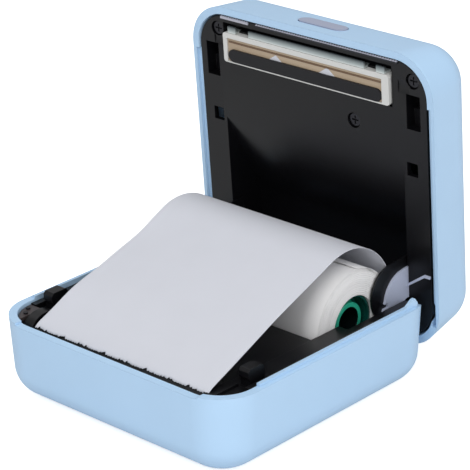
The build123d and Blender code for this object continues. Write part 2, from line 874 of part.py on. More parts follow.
def pocket_outline(extra):
    """The hollow over the roll, with the ramp that leads the paper to the head."""
    radius = pocket_radius + extra
    rise = frame_z - overcut
    reach_y = roll_y - pocket_start_y
    reach_z = roll_z - frame_z
    distance = sqrt(reach_y ** 2 + reach_z ** 2)
    tangent = sqrt(distance ** 2 - pocket_radius ** 2)
    turn = atan2(reach_z, reach_y) + atan2(pocket_radius, tangent)
    touch = (roll_y - radius * sin(turn), roll_z + radius * cos(turn))
    start = (touch[0] - (tangent + extra) * cos(turn), touch[1] - (tangent + extra) * sin(turn))
    ramp = outline_face(start, touch, (roll_y, roll_z), (roll_y, rise), (start[0], rise))
    return ramp + Pos(roll_y, roll_z) * Circle(radius)


def latch_slot(side, extra, z_low):
    """The slot for one latch: deep in front, shallow behind."""
    inner = latch_x - latch_width / 2 - slot_side_gap - extra
    outer = latch_x + latch_width / 2 + slot_side_gap + extra
    x_low, x_high = span(side, inner, outer)
    front = latch_front - slot_front_room - extra
    slot = block(x_low, x_high, front, slot_step_y + extra, z_low, frame_z + slot_deep + extra)
    return slot + block(x_low, x_high, front, latch_rear + slot_rear_room + extra, z_low,
                        frame_z + slot_shallow + extra)


def head_bay():
    """The box in the lid frame round the head and its springs, as walls and hollow."""
    low = head_left - head_gap
    high = head_right + head_gap
    front = head_front - head_bay_front
    rear = head_rear + head_gap
    walls = block(low - bay_skin, high + bay_skin, front - overcut, rear + bay_skin, frame_z, bay_roof)
    hollow = block(low, high, front, rear, frame_z - overcut, bay_top)
    for x in (-spring_x, spring_x):
        half = spring_half + shell_gap
        pocket = spring_width / 2 + shell_gap
        walls += block(x - half - frame_skin, x + half + frame_skin, head_middle_y - pocket - frame_skin,
                       head_middle_y + pocket + frame_skin, frame_z, spring_seat + frame_skin)
        hollow += block(x - half, x + half, head_middle_y - pocket, head_middle_y + pocket, frame_z, spring_seat)
    return walls, hollow


def lid_frame():
    """The black inner moulding of the lid with its roll pocket and head bay."""
    half = half_body - lid_wall - shell_gap - bite
    frame = slab(half, half, corner_radius - lid_wall - shell_gap, frame_z, frame_z + lid_plate)
    outer = across(pocket_outline(frame_skin), -pocket_half - frame_skin, pocket_half + frame_skin)
    frame += outer & layer(frame_z, lid_top)
    walls, hollow = head_bay()
    frame += walls
    for _, side in sides:
        frame += latch_slot(side, slot_skin, frame_z)
    for x, y in lid_screw_places:
        frame += post(x, y, lid_boss_radius, frame_z, frame_z + lid_boss_height)
    frame -= across(pocket_outline(0), -pocket_half, pocket_half)
    frame -= hollow
    for _, side in sides:
        frame -= latch_slot(side, 0, lid_z)
        x_low, x_high = span(side, platen_half + cap_inner - bite, gear_air - gear_x_outer)
        frame -= rod(platen_y, platen_z, trough_radius + 2 * cap_skin, x_low, x_high)
        x_low, x_high = span(side, window_low, window_high)
        frame -= block(x_low, x_high, window_front, window_rear, lid_z, frame_z + lid_plate + overcut)
        x_low, x_high = span(side, arm_inner - sliding_gap, arm_outer + sliding_gap)
        frame -= block(x_low, x_high, fin_y - fin_radius - shell_gap, relief_y, lid_z, frame_z + arm_root + bite)
    for x, y in lid_screw_places:
        frame -= post(x, y, lid_screw_hole, lid_z, frame_z + lid_screw_recess)
        frame -= post(x, y, screw_radius + running_clearance, lid_z, frame_z + lid_boss_height + overcut)
    inset = lid_wall + bite
    return frame & lid_tub(inset, lid_ceiling - bite, lid_edge_fillet - inset)


def lid_screws():
    """Three cross-head screws, sunk in the lid frame."""
    seat = frame_z + lid_screw_recess
    low = seat - screw_head_height
    made = []
    for x, y in lid_screw_places:
        cross = Box(cross_length, cross_width, 2 * cross_depth) + Box(cross_width, cross_length, 2 * cross_depth)
        head = post(x, y, screw_head_radius, low, seat) - Pos(x, y, low) * cross
        made.append(head + post(x, y, screw_radius, seat - bite, frame_z + lid_boss_height - bite))
    return Compound(made)


def head_carrier():
    """The white moulded frame that holds the ceramic plate and rides on the springs."""
    carrier = block(head_left, head_right, head_front, head_rear, head_z, head_top)
    carrier = fillet(carrier.edges().filter_by(Axis.Z), head_corner)
    window = block(head_left + head_bar_left, head_right - head_bar_right, head_front + head_bar_front,
                   head_rear - head_bar_rear, head_z - overcut, window_top)
    return carrier - window


def head_plate():
    """The ceramic plate that carries the row of heating dots."""
    return block(head_left + head_bar_left + plate_gap, head_right - head_bar_right - plate_gap,
                 head_front + head_bar_front + plate_gap, head_rear - head_bar_rear - plate_gap, plate_z, window_top)


def head_driver():
    """The long black cap over the driver chips, with round ends."""
    outline = SlotOverall(cap_right - cap_left, cap_depth)
    middle_y = head_rear - head_bar_rear - plate_gap - cap_depth / 2
    low = head_z - cap_proud
    return Pos((cap_left + cap_right) / 2, middle_y, low) * extrude(outline, amount=plate_z - low)


def head_heater():
    """The glazed line of heating dots, over the middle of the platen."""
    return block(cap_left, cap_right, platen_y - heater_half, platen_y + heater_half, plate_z - heater_depth, plate_z)


def head_bracket():
    """The pale steel strip along the front of the head, with a tab at each end."""
    rear = head_front - sliding_gap
    front = rear - bracket_depth
    low = head_z + sliding_gap
    lip_front = rear - bracket_sheet
    high = low + bracket_lip
    bracket = block(left_tab_x, right_tab_x + tab_width, lip_front, rear, high - overcut, high)
    spans = ((bracket_left, bracket_right), (left_tab_x, left_tab_x + tab_width),
             (right_tab_x, right_tab_x + tab_width))
    for x_low, x_high in spans:
        bracket += block(x_low, x_high, front, rear, low, low + bracket_sheet)
        bracket += block(x_low, x_high, lip_front, rear, low, high)
    return bracket


def head_springs():
    """Two arched leaf springs that press the head towards the platen."""
    outer = ThreePointArc((-spring_half, 0), (0, spring_height), (spring_half, 0))
    foot = spring_half - spring_sheet
    inner = ThreePointArc((-foot, 0), (0, spring_height - spring_sheet), (foot, 0))
    leaf = make_face([outer, inner, Line(outer @ 0, inner @ 0), Line(outer @ 1, inner @ 1)])
    made = []
    for x in (-spring_x, spring_x):
        plane = Plane((x, head_middle_y + spring_width / 2, head_top), x_dir=(1, 0, 0), z_dir=(0, -1, 0))
        made.append(extrude(plane * leaf, amount=spring_width))
    return Compound(made)


def frame_rib(side):
    """The thin bent rib of an arm, lying on the face of the lid frame."""
    half = rib_width / 2
    start = arm_outer - bite
    end = frame_half - sliding_gap
    points = [(start, rib_start_y - half), (rib_bend_x, rib_end_y - half), (end, rib_end_y - half),
              (end, rib_end_y + half), (rib_bend_x + half / 2, rib_end_y + half), (start, rib_start_y + half)]
    rib = Pos(0, 0, frame_z - rib_height) * extrude(outline_face(*points), amount=rib_height)
    return rib if side > 0 else mirror(rib, Plane.YZ)


def hinge_arm(side):
    """A sector-shaped arm with a detent notch and a hub, fixed in the lid frame."""
    x_low, x_high = span(side, arm_inner, arm_outer)
    root_top = frame_z + arm_root
    fin = Pos(fin_y, fin_z) * Circle(fin_radius) & Pos(fin_y, 0) * Rectangle(everywhere, 2 * frame_z)
    fin &= outline_face((0, fin_low), (everywhere, fin_low), (everywhere, root_top), (0, root_top))
    neck = outline_face((detent_y - detent_width, fin_low), (hinge_y, hinge_z - hinge_hub_radius),
                        (hinge_y + hinge_hub_radius, hinge_z), (hinge_y, relief_z - relief_radius), (fin_y, fin_z))
    root = outline_face((fin_y - fin_radius, fin_z), (fin_y - fin_radius, root_top), (fin_y, root_top), (fin_y, fin_z))
    arm = fin + neck + Pos(hinge_y, hinge_z) * Circle(hinge_hub_radius) + root
    arm -= Pos(relief_y, relief_z) * Circle(relief_radius)
    arm -= Pos(detent_y, fin_low) * Rectangle(detent_width, 2 * detent_depth)
    arm -= Pos(hinge_y, hinge_z) * Circle(hinge_pin_radius)
    return across(arm, x_low, x_high) + frame_rib(side)


def hinge_pin(side):
    """A steel pin through an arm's hub into the base frame."""
    x_low, x_high = span(side, arm_inner, arm_inner + hinge_pin_length)
    return rod(hinge_y, hinge_z, hinge_pin_radius, x_low, x_high)


def roll_cheek(side):
    """A thin D-shaped cheek on the lid that keeps the roll's end in line."""
    inner = side_inner + running_clearance
    x_low, x_high = span(side, inner, inner + cheek_thickness)
    root_top = frame_z + cheek_root
    disc = Pos(cheek_y, cheek_z) * Circle(cheek_radius)
    root = outline_face((cheek_y - cheek_radius, cheek_z), (cheek_y + cheek_radius, cheek_z),
                        (cheek_y + cheek_radius, root_top), (cheek_y - cheek_radius, root_top))
    return across(disc + root, x_low, x_high)


def toothed_strip(x_low, x_high):
    """A short blade with saw teeth along its front edge."""
    tip = -half_body + lid_wall + tear_inset
    root = tip + tear_tooth
    rear = root + tear_strip
    count = int((x_high - x_low) / tear_pitch)
    end = x_low + count * tear_pitch
    points = []
    for tooth in range(count):
        x = x_low + tooth * tear_pitch
        points += [(x, root), (x + tear_pitch / 2, tip)]
    points += [(end, root), (end, rear), (x_low, rear)]
    return Pos(0, 0, lid_z) * extrude(outline_face(*points), amount=lid_frame_drop)


def tear_bar():
    """The flat toothed blade along the lid's front edge, broken near its left end."""
    return Compound([toothed_strip(-tear_half, tear_break_low), toothed_strip(tear_break_high, tear_half)])


def button_switch():
    """The push switch behind the power button, on the roof of the head bay."""
    return block(-switch_half, switch_half, switch_front, switch_front + switch_depth, bay_roof,
                 button_z + switch_half_height)


def main_board():
    """The main circuit board, under the lid's ceiling."""
    z_low = lid_ceiling - board_drop
    return Pos(0, board_y, 0) * slab(board_half_x, board_half_y, board_corner, z_low, z_low + board_thickness)


def main_chips():
    """Three square chips on the underside of the main board."""
    z_top = lid_ceiling - board_drop
    made = []
    for x, y, half, height in ((-12, -12, 4, 1.2), (6, -14, 3, 1.0), (16, -8, 2, 1.6)):
        made.append(block(x - half, x + half, y - half, y + half, z_top - height, z_top))
    return Compound(made)


def build():
    """Every node of the printer, by name."""
    makers = [base_shell, base_frame, rubber_feet, base_screws, usb_socket, charge_board, battery, paper_sensor,
              gear_screws, gear_plate, gear_cover, motor_body, motor_shaft, motor_pinion, idler_pin, idler_gear,
              platen_rubber, platen_shaft, platen_gear, paper_roll, roll_core, paper_web]
    lid_makers = [lid_shell, lid_frame, lid_screws, tear_bar, head_carrier, head_plate, head_heater, head_driver,
                  head_bracket, head_springs, power_button, button_switch, main_board, main_chips]
    parts = {}
    for maker in makers:
        parts[maker.__name__] = maker()
    for maker in lid_makers:
        parts[maker.__name__] = open_lid(maker())
    for name, side in sides:
        for maker in (platen_bush, bearing_cap, latch):
            parts[name + "_" + maker.__name__] = maker(side)
        for maker in (hinge_arm, hinge_pin, roll_cheek):
            parts[name + "_" + maker.__name__] = open_lid(maker(side))
    return parts


os.makedirs("parts", exist_ok=True)
for node, solid in build().items():
    export_step(solid, os.path.join("parts", node + ".step"))
    print(node, round(solid.volume, 1), len(solid.solids()))
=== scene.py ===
# %% [markdown]
# # A pocket thermal printer with its lid open
#
# This lesson dresses a small square printer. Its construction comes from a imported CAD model,
# which is loaded first and is never moved. Everything after that is about looks: a camera that
# matches the photograph, soft studio light, a finish for every part, and new meshes for the
# paper, which no CAD solid can show well. All sizes are in metres.

# %% Load the frame
from math import asin, atan2, cos, exp, pi, radians, sin

import bmesh
import bpy
from mathutils import Matrix, Vector


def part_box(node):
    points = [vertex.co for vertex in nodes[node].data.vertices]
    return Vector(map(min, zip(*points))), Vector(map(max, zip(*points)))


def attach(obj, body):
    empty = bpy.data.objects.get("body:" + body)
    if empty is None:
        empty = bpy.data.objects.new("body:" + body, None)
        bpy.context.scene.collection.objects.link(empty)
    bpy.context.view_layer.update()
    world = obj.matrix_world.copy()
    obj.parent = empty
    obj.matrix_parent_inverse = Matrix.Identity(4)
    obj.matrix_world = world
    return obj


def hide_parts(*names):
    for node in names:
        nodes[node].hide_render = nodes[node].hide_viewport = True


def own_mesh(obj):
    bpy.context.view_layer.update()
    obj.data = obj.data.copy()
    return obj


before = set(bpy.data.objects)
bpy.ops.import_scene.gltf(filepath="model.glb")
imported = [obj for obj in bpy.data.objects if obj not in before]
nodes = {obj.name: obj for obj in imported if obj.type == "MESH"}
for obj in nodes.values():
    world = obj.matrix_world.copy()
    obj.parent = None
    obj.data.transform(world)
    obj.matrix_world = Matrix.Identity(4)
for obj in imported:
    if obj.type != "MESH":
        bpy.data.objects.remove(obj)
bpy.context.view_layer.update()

MM = 0.001

# %% [markdown]
# ## The camera
#
# The photograph was taken with a long lens from the right front, a little above the printer.
# A camera in Blender is placed by one matrix. Its columns are the directions right, up and
# backwards, and then its place. Those directions follow from three angles: the azimuth round
# the printer, the elevation above the table, and a small roll.

# %% Camera
azimuth = radians(43.06)
elevation = radians(23.05)
roll = radians(-1.33)
camera_place = Vector((362.2, -379.8, 264.5)) * MM
image_side = 470
focal_pixels = 2303.4
sensor = 36.0

backwards = Vector((sin(azimuth) * cos(elevation), -cos(azimuth) * cos(elevation), sin(elevation)))
level_right = Vector((cos(azimuth), sin(azimuth), 0))
level_up = backwards.cross(level_right)
right = level_right * cos(roll) + level_up * sin(roll)
up = level_up * cos(roll) - level_right * sin(roll)

camera_data = bpy.data.cameras.new("photo_camera")
camera_data.sensor_width = sensor
camera_data.lens = sensor * focal_pixels / image_side
camera_data.clip_start = 0.01
camera_data.clip_end = 10
camera = bpy.data.objects.new("photo_camera", camera_data)
camera.matrix_world = Matrix((right, up, backwards)).transposed().to_4x4()
camera.matrix_world.translation = camera_place
bpy.context.scene.collection.objects.link(camera)
bpy.context.scene.camera = camera
print("lens in mm:", round(camera_data.lens, 1))

# %% [markdown]
# ## Shader maths in plain Python
#
# A material is a graph of nodes. Wiring it by hand takes many lines, so a small class wraps one
# output socket. Adding or multiplying two wrapped sockets adds the Math node that does it. One
# method, `node`, makes every other kind of node: it sets its options first, and then each
# input, either to a value or to a link.

# %% Shader helper
class Wire:
    """One output socket of a material's node tree, with arithmetic."""

    def __init__(self, tree, socket):
        self.tree = tree
        self.socket = socket

    def node(self, kind, settings=None, output=0, **inputs):
        return make_node(self.tree, kind, settings, output, **inputs)

    def math(self, operation, first, second):
        return self.node("ShaderNodeMath", {"operation": operation}, in0=first, in1=second)

    def __add__(self, other):
        return self.math("ADD", self, other)

    def __radd__(self, other):
        return self.math("ADD", other, self)

    def __sub__(self, other):
        return self.math("SUBTRACT", self, other)

    def __rsub__(self, other):
        return self.math("SUBTRACT", other, self)

    def __mul__(self, other):
        return self.math("MULTIPLY", self, other)

    def __rmul__(self, other):
        return self.math("MULTIPLY", other, self)

    def __truediv__(self, other):
        return self.math("DIVIDE", self, other)

    def __gt__(self, other):
        return self.math("GREATER_THAN", self, other)

    def __lt__(self, other):
        return self.math("LESS_THAN", self, other)


def make_node(tree, kind, settings=None, output=0, **inputs):
    """A node of that kind; in0, in1 and so on are its inputs by number, others by name."""
    made = tree.nodes.new(kind)
    for name, value in (settings or {}).items():
        if name == "stops":
            set_stops(made.color_ramp, value)
        else:
            setattr(made, name, value)
    for name, value in inputs.items():
        number = name[2:] if name.startswith("in") and name[2:].isdigit() else None
        socket = made.inputs[int(number)] if number else made.inputs[name.replace("_", " ")]
        if isinstance(value, Wire):
            tree.links.new(value.socket, socket)
        else:
            socket.default_value = value
    return Wire(tree, made.outputs[output])


def set_stops(ramp, stops):
    """Colour stops as (place, colour) pairs."""
    while len(ramp.elements) < len(stops):
        ramp.elements.new(0.5)
    for element, (place, colour) in zip(ramp.elements, stops):
        element.position = place
        element.color = colour


def tone(red, green, blue):
    """A colour read off the photograph, from 0 to 255, as Blender's linear colour."""
    linear = []
    for value in (red, green, blue):
        share = value / 255
        linear.append(share / 12.92 if share <= 0.04045 else ((share + 0.055) / 1.055) ** 2.4)
    return (*linear, 1.0)


def shade(colour, factor):
    return (*[channel * factor for channel in colour[:3]], 1.0)


print("shader helper ready; white is", [round(v, 2) for v in tone(255, 255, 255)])

# %% [markdown]
# ## A finish and its parts
#
# Every finish starts the same way: a Principled shader, the object's own coordinates, and a
# Bump node that carries the fine grain. A Bevel node rounds the light on sharp edges, as the
# small radii of moulded parts do, without more geometry.

# %% Start of a finish
class Finish:
    """A material with a Principled shader and the sockets that finishes share."""

    def __init__(self, name, edge_mm=0.12):
        self.material = bpy.data.materials.new(name)
        self.material.use_nodes = True
        self.tree = self.material.node_tree
        self.tree.nodes.clear()
        self.shader = self.tree.nodes.new("ShaderNodeBsdfPrincipled")
        output = self.tree.nodes.new("ShaderNodeOutputMaterial")
        self.tree.links.new(self.shader.outputs[0], output.inputs[0])
        self.place = self.node("ShaderNodeTexCoord", output=3)
        self.edge = self.node("ShaderNodeBevel", {"samples": 4}, Radius=edge_mm * MM)

    def node(self, kind, settings=None, output=0, **inputs):
        return make_node(self.tree, kind, settings, output, **inputs)

    def noise(self, size_mm, detail=3.0, rough=0.5, stretch=(1, 1, 1)):
        """Noise whose features are about size_mm across, centred on 0.5."""
        spot = self.node("ShaderNodeMapping", Vector=self.place, Scale=stretch)
        return self.node("ShaderNodeTexNoise", Vector=spot, Scale=1 / (size_mm * MM), Detail=detail,
                         Roughness=rough)

    def mix(self, factor, first, second):
        return self.node("ShaderNodeMix", {"data_type": "RGBA"}, output=2, in0=factor, in6=first, in7=second)

    def set(self, name, value):
        socket = self.shader.inputs[name]
        if isinstance(value, Wire):
            self.tree.links.new(value.socket, socket)
        else:
            socket.default_value = value

    def reach_from(self, axis_point):
        """Distance from a line along X through a point."""
        spot = self.node("ShaderNodeVectorMath", {"operation": "SUBTRACT"}, in0=self.place, in1=axis_point)
        flat = self.node("ShaderNodeVectorMath", {"operation": "MULTIPLY"}, in0=spot, in1=(0, 1, 1))
        return self.node("ShaderNodeVectorMath", {"operation": "LENGTH"}, output=1, in0=flat)

    def bump(self, height, distance_mm, strength=1.0):
        self.set("Normal", self.node("ShaderNodeBump", Height=height, Distance=distance_mm * MM,
                                     Strength=strength, Normal=self.edge))


print("finish class ready")

# %% [markdown]
# ### Moulded plastics
#
# The housings are pale blue plastic with the fine, even grain that a spark-eroded mould leaves.
# The same recipe, with other colours and roughness, gives the black inner frames, the
# lilac-grey arms and button, and the small white and dark mouldings. The arms are a lighter copy of the
# button's lilac, painted light against their shade.

# %% Moulded plastic
def moulded(name, colour, rough, grain_mm=0.22, grain_depth=0.012, drift=0.05, edge_mm=0.15):
    """Plastic with a fine grain, a slow drift of tone and slightly uneven gloss."""
    finish = Finish(name, edge_mm)
    slow = finish.noise(14, detail=2)
    grain = finish.noise(grain_mm, detail=2, rough=0.6)
    smear = finish.noise(5, detail=4, stretch=(1, 1, 0.35))
    finish.set("Base Color", finish.mix(slow, shade(colour, 1 - drift), shade(colour, 1 + drift)))
    finish.set("Roughness", rough + (smear - 0.5) * 0.16)
    finish.bump(grain, grain_depth)
    return finish


blue = tone(181, 213, 242)
blue_shell = moulded("blue_shell_plastic", blue, 0.42, drift=0.025, edge_mm=0.3)
black_frame = moulded("black_frame_plastic", tone(12, 12, 15), 0.32, grain_mm=0.5, grain_depth=0.006,
                      drift=0.2)
black_frame.set("Specular IOR Level", 0.36)
lilac_pill = moulded("lilac_pill_plastic", tone(165, 172, 195), 0.38, drift=0.03, edge_mm=0.1)
# Painted light: the arms get a lighter copy of the button's lilac plastic, to lift them out of their shade.
lilac_arm = moulded("lilac_arm_plastic", tone(186, 193, 214), 0.38, drift=0.03, edge_mm=0.1)
white_carrier = moulded("white_carrier_plastic", tone(214, 214, 211), 0.5, drift=0.03, edge_mm=0.1)
nylon = moulded("nylon_gear_plastic", tone(222, 218, 206), 0.42, drift=0.02, edge_mm=0.06)
bronze_bracket = moulded("bronze_bracket_plastic", tone(58, 50, 51), 0.34, drift=0.12, edge_mm=0.08)
dark_chip = moulded("dark_chip_plastic", tone(34, 34, 36), 0.5, drift=0.05, edge_mm=0.05)
board_mask = moulded("board_mask", tone(22, 84, 56), 0.3, drift=0.08, edge_mm=0.05)
print("plastics:", [f.material.name for f in (blue_shell, black_frame, lilac_arm, white_carrier)])

# %% [markdown]
# ### Metal
#
# Screws, pins and plates are bright steel with fine lines left by turning or rolling. The lines
# are noise that is stretched along one direction, and they change both the gloss and the bump.

# %% Metal
def worked_steel(name, colour, rough, stretch=(0.08, 1, 1)):
    finish = Finish(name, 0.06)
    lines = finish.noise(0.25, detail=4, rough=0.65, stretch=stretch)
    cloud = finish.noise(4, detail=2)
    finish.set("Base Color", finish.mix(cloud, shade(colour, 0.92), shade(colour, 1.06)))
    finish.set("Metallic", 1.0)
    finish.set("Roughness", rough + (lines - 0.5) * 0.22)
    finish.bump(lines, 0.006)
    return finish


steel = worked_steel("worked_steel", tone(196, 197, 200), 0.32)
black_steel = worked_steel("blackened_steel", tone(62, 62, 66), 0.3)


# Painted shadow: over these two spans the clip is painted near black.
bracket_gap_shadows_mm = ((-24.3, -19.7), (18.7, 22.6))


def clip_finish():
    """Plated steel with painted shade, pale at its lower edge and darker above, and painted shadow over two
    gaps beside its tabs.
    """
    finish = worked_steel("plated_clip_steel", tone(186, 196, 196), 0.48)
    across = finish.node("ShaderNodeSeparateXYZ", Vector=finish.place)
    height = finish.node("ShaderNodeSeparateXYZ", output=2, Vector=finish.place)
    low, high = [corner[2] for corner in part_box("head_bracket")]
    share = (height - low) / (high - low)
    # Painted shade: the ramp runs from pale at the lower edge to dark at the top.
    plating_and_painted_shade = [(0.0, tone(226, 232, 230)), (0.35, tone(178, 188, 188)), (1.0, tone(70, 78, 82))]
    ramp = finish.node("ShaderNodeValToRGB", {"stops": plating_and_painted_shade}, in0=share)
    left_gap_shadow, right_gap_shadow = [(across > start * MM) * (across < end * MM) for start, end in bracket_gap_shadows_mm]
    finish.set("Base Color", finish.mix(left_gap_shadow + right_gap_shadow, ramp, tone(12, 12, 14)))
    finish.set("Metallic", 0.55)
    return finish


clip_steel = clip_finish()


# Painted highlight: the blade is painted bright above the teeth's foot and left of the bright stretch's end.
teeth_foot_mm = 83.12
bright_stretch_mm = -19.0


def blade_finish():
    """Dull steel, painted dark as shade, with painted highlight on the teeth and on the short left stretch.
    """
    finish = worked_steel("ground_blade_steel", tone(196, 190, 200), 0.5)
    across = finish.node("ShaderNodeSeparateXYZ", Vector=finish.place)
    height = finish.node("ShaderNodeSeparateXYZ", output=2, Vector=finish.place)
    left = across < bright_stretch_mm * MM
    ground = height > teeth_foot_mm * MM
    finish.set("Base Color", finish.mix(left + ground, tone(40, 42, 48), tone(190, 190, 202)))
    finish.set("Metallic", 0.4)
    return finish


blade_steel = blade_finish()
battery_foil = worked_steel("battery_foil", tone(190, 192, 196), 0.4, stretch=(1, 1, 1))
print("metals ready")

# %% [markdown]
# ### Rubber, ceramic and resin
#
# The platen and feet are matte rubber. The head's plate is unglazed beige ceramic with a thin
# brown glazed line, where the heating dots are, and the long cap over its chips is black resin.

# %% Rubber, ceramic and resin
platen_rubber = moulded("platen_rubber", tone(34, 34, 36), 0.62, grain_mm=0.12, grain_depth=0.01, drift=0.06,
                        edge_mm=0.06)
foot_rubber = moulded("foot_rubber", tone(58, 58, 60), 0.7, grain_mm=0.2, grain_depth=0.02, drift=0.06,
                      edge_mm=0.06)
driver_cap = moulded("driver_cap_resin", tone(20, 20, 24), 0.36, grain_mm=0.5, grain_depth=0.01, drift=0.05,
                     edge_mm=0.2)
driver_cap.set("Specular IOR Level", 0.3)


def ceramic_plate():
    """Beige ceramic whose tone drifts slowly in streaks along its length, with fine darker speckle."""
    finish = Finish("ceramic_plate", 0.05)
    speckle = finish.noise(0.18, detail=3)
    along = finish.noise(6, detail=2, stretch=(0.4, 1, 1))
    base = finish.mix(along, tone(170, 149, 124), tone(196, 177, 152))
    finish.set("Base Color", finish.mix(speckle * 0.3, base, tone(150, 132, 112)))
    finish.set("Roughness", 0.4 + speckle * 0.15)
    finish.bump(speckle, 0.004)
    return finish


ceramic = ceramic_plate()
heater_glaze = moulded("heater_glaze", tone(108, 84, 62), 0.15, grain_mm=0.3, grain_depth=0.002, drift=0.1,
                       edge_mm=0.06)
print("rubber and ceramic ready")

# %% [markdown]
# ### Paper
#
# Thermal paper is smooth, and very fine fibres show in its bump. The loose web is painted a darker,
# cooler copy of the roll's paper, as painted shade. The end of the roll shows its layers, so there
# the tone follows the distance from the roll's axis in fine rings.

# %% Paper
roll_centre = Vector((20.0, 18.5))
roll_axis = Vector((0, *roll_centre)) * MM
rings_per_metre = 4200


def paper_finish(name, colour, rings=False):
    finish = Finish(name, 0.02)
    fibre = finish.noise(0.25, detail=5, rough=0.7, stretch=(1, 0.5, 1))
    cloud = finish.noise(9, detail=2)
    tint = finish.mix(cloud, shade(colour, 0.975), shade(colour, 1.02))
    if rings:
        reach = finish.reach_from(roll_axis)
        line = finish.node("ShaderNodeTexNoise", {"noise_dimensions": "1D"}, W=reach * rings_per_metre,
                           Scale=1.0, Detail=3.0)
        tint = finish.mix((line - 0.35) * 0.9, shade(colour, 0.86), tint)
    finish.set("Base Color", tint)
    finish.set("Roughness", 0.62 + (fibre - 0.5) * 0.1)
    finish.set("Sheen Weight", 0.1)
    finish.bump(fibre, 0.006)
    return finish


# Painted shade: the loose web is a darker, cooler copy of the roll's paper.
shaded_web_paper = paper_finish("shaded_web_paper", tone(206, 208, 216))
roll_paper = paper_finish("roll_paper", tone(246, 245, 245), rings=True)


hub_reach_mm = 5.6
bore_reach_mm = 3.8


def core_finish():
    """Green plastic with painted light and shade: a bright hub, a deeper painted-shade green outside it, and
    painted shadow, nearly black, in its bore.
    """
    finish = moulded("green_core_plastic", tone(40, 165, 134), 0.28, grain_mm=0.8, drift=0.1)
    reach = finish.reach_from(roll_axis)
    # Painted shade: deeper green outside the hub; painted shadow: near black inside the bore.
    shade_outside_hub = finish.mix(reach > hub_reach_mm * MM, tone(46, 178, 146), tone(12, 76, 68))
    finish.set("Base Color", finish.mix(reach < bore_reach_mm * MM, shade_outside_hub, tone(6, 18, 18)))
    return finish


green_core = core_finish()
print("paper ready")

# %% [markdown]
# ## Finishes on the CAD parts
#
# Each CAD node gets a finish by name. The meshes arrive as flat triangles, so each one is
# shaded smooth, its loose triangles are welded by a modifier, and edges sharper than thirty
# degrees are split again to keep them crisp. The vertices themselves stay as they were.

# %% Finishes by node
finish_of = {
    "base_shell": blue_shell, "lid_shell": blue_shell, "base_frame": black_frame, "lid_frame": black_frame,
    "rubber_feet": foot_rubber, "base_screws": steel, "usb_socket": steel, "charge_board": board_mask,
    "battery": battery_foil, "paper_sensor": dark_chip, "gear_screws": black_steel, "gear_plate": steel,
    "gear_cover": bronze_bracket, "motor_body": steel, "motor_shaft": steel, "motor_pinion": nylon,
    "idler_pin": steel, "idler_gear": nylon, "platen_rubber": platen_rubber, "platen_shaft": steel,
    "platen_gear": nylon, "paper_roll": roll_paper, "roll_core": green_core, "paper_web": shaded_web_paper,
    "lid_screws": black_steel, "tear_bar": blade_steel, "head_carrier": white_carrier, "head_plate": ceramic,
    "head_heater": heater_glaze, "head_driver": driver_cap, "head_bracket": clip_steel,
    "head_springs": steel, "power_button": lilac_pill, "button_switch": dark_chip, "main_board": board_mask,
    "main_chips": dark_chip,
}
for side in ("left", "right"):
    finish_of[side + "_platen_bush"] = nylon
    finish_of[side + "_bearing_cap"] = black_frame
    finish_of[side + "_latch"] = black_frame
    finish_of[side + "_hinge_arm"] = lilac_arm
    finish_of[side + "_hinge_pin"] = steel
    finish_of[side + "_roll_cheek"] = black_frame


def dress(piece, finish):
    piece.data.materials.clear()
    piece.data.materials.append(finish.material)


def smooth_cad(piece, angle=radians(30)):
    """Smooth shading that keeps sharp edges, by modifiers alone."""
    for face in piece.data.polygons:
        face.use_smooth = True
    weld = piece.modifiers.new("weld", "WELD")
    weld.merge_threshold = 1e-6
    split = piece.modifiers.new("crisp_edges", "EDGE_SPLIT")
    split.split_angle = angle


for name, piece in nodes.items():
    dress(piece, finish_of[name])
    smooth_cad(piece)
print("dressed", len(nodes), "CAD nodes")

# %% [markdown]
# ## New pieces
#
# Some parts need more than a CAD solid. Each is made as a mesh in millimetres with bmesh and
# scaled to metres at the end. `finish_piece` turns a bmesh into an object, gives it a material and
# says which body it rides on and which CAD node it stands for.

# %% Making a piece
def finish_piece(name, mesh, finish, body, node=None, smooth=True):
    bmesh.ops.scale(mesh, vec=(MM, MM, MM), verts=mesh.verts)
    bmesh.ops.recalc_face_normals(mesh, faces=mesh.faces)
    data = bpy.data.meshes.new(name)
    mesh.to_mesh(data)
    mesh.free()
    for face in data.polygons:
        face.use_smooth = smooth
    data.materials.append(finish.material)
    piece = bpy.data.objects.new(name, data)
    bpy.context.scene.collection.objects.link(piece)
    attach(piece, body)
    if node:
        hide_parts(node)
    print(name, "faces:", len(data.polygons), "rides on", body)
    return piece


def sheet_grid(rows, columns, place):
    """A grid whose vertex in a given row and column is put where place(row share, column share) says."""
    mesh = bmesh.new()
    bmesh.ops.create_grid(mesh, x_segments=columns, y_segments=rows, size=0.5)
    for vertex in mesh.verts:
        vertex.co = place(vertex.co.y + 0.5, vertex.co.x + 0.5)
    return mesh


def thicken(piece, thickness_mm):
    solid = piece.modifiers.new("thickness", "SOLIDIFY")
    solid.thickness = thickness_mm * MM
    solid.offset = -1


def crisp_edges(piece, degrees_sharp):
    split = piece.modifiers.new("crisp_edges", "EDGE_SPLIT")
    split.split_angle = radians(degrees_sharp)


print("piece helpers ready")

# %% [markdown]
# ### The loose length of paper
#
# The paper leaves the roll behind, stands up over it in a wide curl, runs down a nearly flat
# ramp and bends over the platen. Seen from the side that is an arc, a straight line and a second
# arc, each tangent to the next. The sheet is a fine grid that is bent along this path. It lies a
# little askew, its left edge bows, and its front edge is torn: a saw line with slow, uneven bites.

